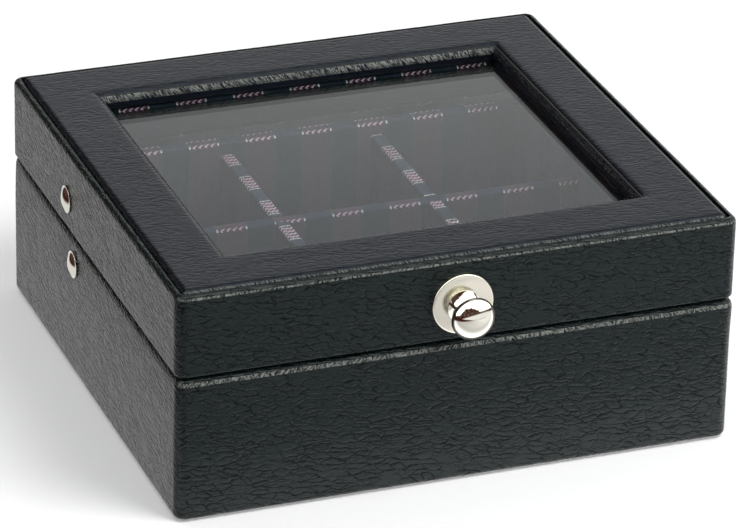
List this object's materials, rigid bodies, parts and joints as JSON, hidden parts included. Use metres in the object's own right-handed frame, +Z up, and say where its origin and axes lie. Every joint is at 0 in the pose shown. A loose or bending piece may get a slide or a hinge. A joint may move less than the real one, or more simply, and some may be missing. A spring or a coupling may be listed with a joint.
{
  "type": "cufflink display box",
  "caption": "Leather-covered box with a glazed lid on rear hinges and folding side stays, a front pull knob and a striped fabric tray of compartments.",
  "frame": {"origin": "centre of the closed box's underside, on the surface it stands on", "axes": "+X to the box's right seen from the knob's side, +Y to the hinges at the back, +Z up"},
  "size_m": [0.1628, 0.1672, 0.0671],
  "materials": {
    "leatherette": "grained black leatherette, semi-gloss",
    "striped_fabric": "woven stripe, mauve-brown and teal bands with pale threads",
    "fibreboard": "raw fibreboard",
    "underside_paper": "matt black flocked paper",
    "window_glass": "clear float glass",
    "nickel": "polished nickel plate",
    "hinge_steel": "nickel-plated steel",
    "plated_steel": "zinc-plated steel"
  },
  "bodies": {
    "base": {"base_front_board": "fibreboard", "base_back_board": "fibreboard", "base_left_board": "fibreboard", "base_right_board": "fibreboard", "base_bottom_board": "fibreboard", "hinge_rail": "fibreboard", "underside_sheet": "underside_paper", "base_leather_cover": "leatherette", "tray_floor": "striped_fabric", "tray_front_wall": "striped_fabric", "tray_back_wall": "striped_fabric", "tray_left_wall": "striped_fabric", "tray_right_wall": "striped_fabric", "left_divider": "striped_fabric", "right_divider": "striped_fabric", "cross_divider": "striped_fabric", "left_hinge_base_leaf": "hinge_steel", "right_hinge_base_leaf": "hinge_steel", "left_hinge_pin": "hinge_steel", "right_hinge_pin": "hinge_steel", "base_hinge_screws": "plated_steel", "base_stay_rivets": "nickel", "base_stay_spacers": "plated_steel"},
    "lid": {"lid_front_board": "fibreboard", "lid_back_board": "fibreboard", "lid_left_board": "fibreboard", "lid_right_board": "fibreboard", "lid_leather_cover": "leatherette", "lid_front_lining": "striped_fabric", "lid_back_lining": "striped_fabric", "lid_left_lining": "striped_fabric", "lid_right_lining": "striped_fabric", "top_panel_front_rail": "fibreboard", "top_panel_back_rail": "fibreboard", "top_panel_left_rail": "fibreboard", "top_panel_right_rail": "fibreboard", "top_panel_leather": "leatherette", "glass_pane": "window_glass", "lining_frame_front_rail": "striped_fabric", "lining_frame_back_rail": "striped_fabric", "lining_frame_left_rail": "striped_fabric", "lining_frame_right_rail": "striped_fabric", "left_hinge_lid_leaf": "hinge_steel", "right_hinge_lid_leaf": "hinge_steel", "lid_hinge_screws": "plated_steel", "lid_stay_rivets": "nickel", "lid_stay_spacers": "plated_steel", "knob_rose": "nickel", "knob_handle": "nickel", "knob_screw": "plated_steel"},
    "left_lower_stay": {"left_lower_link": "plated_steel", "left_elbow_rivet": "plated_steel"},
    "left_upper_stay": {"left_upper_link": "plated_steel"},
    "right_lower_stay": {"right_lower_link": "plated_steel", "right_elbow_rivet": "plated_steel"},
    "right_upper_stay": {"right_upper_link": "plated_steel"}
  },
  "joints": [
    {"name": "lid_hinge", "type": "hinge", "parent": "base", "child": "lid", "pos_m": [0, 0.0772, 0.04245], "axis": [-1, 0, 0], "range_deg": [0, 95]},
    {"name": "left_base_pivot", "type": "hinge", "parent": "base", "child": "left_lower_stay", "pos_m": [-0.0732, 0.017, 0.0339], "axis": [-1, 0, 0], "range_deg": [0, 95]},
    {"name": "left_lid_pivot", "type": "hinge", "parent": "lid", "child": "left_upper_stay", "pos_m": [-0.072, 0.0227, 0.0514], "axis": [-1, 0, 0], "range_deg": [-95, 0]},
    {"name": "right_base_pivot", "type": "hinge", "parent": "base", "child": "right_lower_stay", "pos_m": [0.0732, 0.017, 0.0339], "axis": [-1, 0, 0], "range_deg": [0, 95]},
    {"name": "right_lid_pivot", "type": "hinge", "parent": "lid", "child": "right_upper_stay", "pos_m": [0.072, 0.0227, 0.0514], "axis": [-1, 0, 0], "range_deg": [-95, 0]}
  ],
  "couplings": [
    {"joint": "left_base_pivot", "follows": "lid_hinge", "ratio": 1},
    {"joint": "left_lid_pivot", "follows": "lid_hinge", "ratio": -1},
    {"joint": "right_base_pivot", "follows": "lid_hinge", "ratio": 1},
    {"joint": "right_lid_pivot", "follows": "lid_hinge", "ratio": -1}
  ]
}
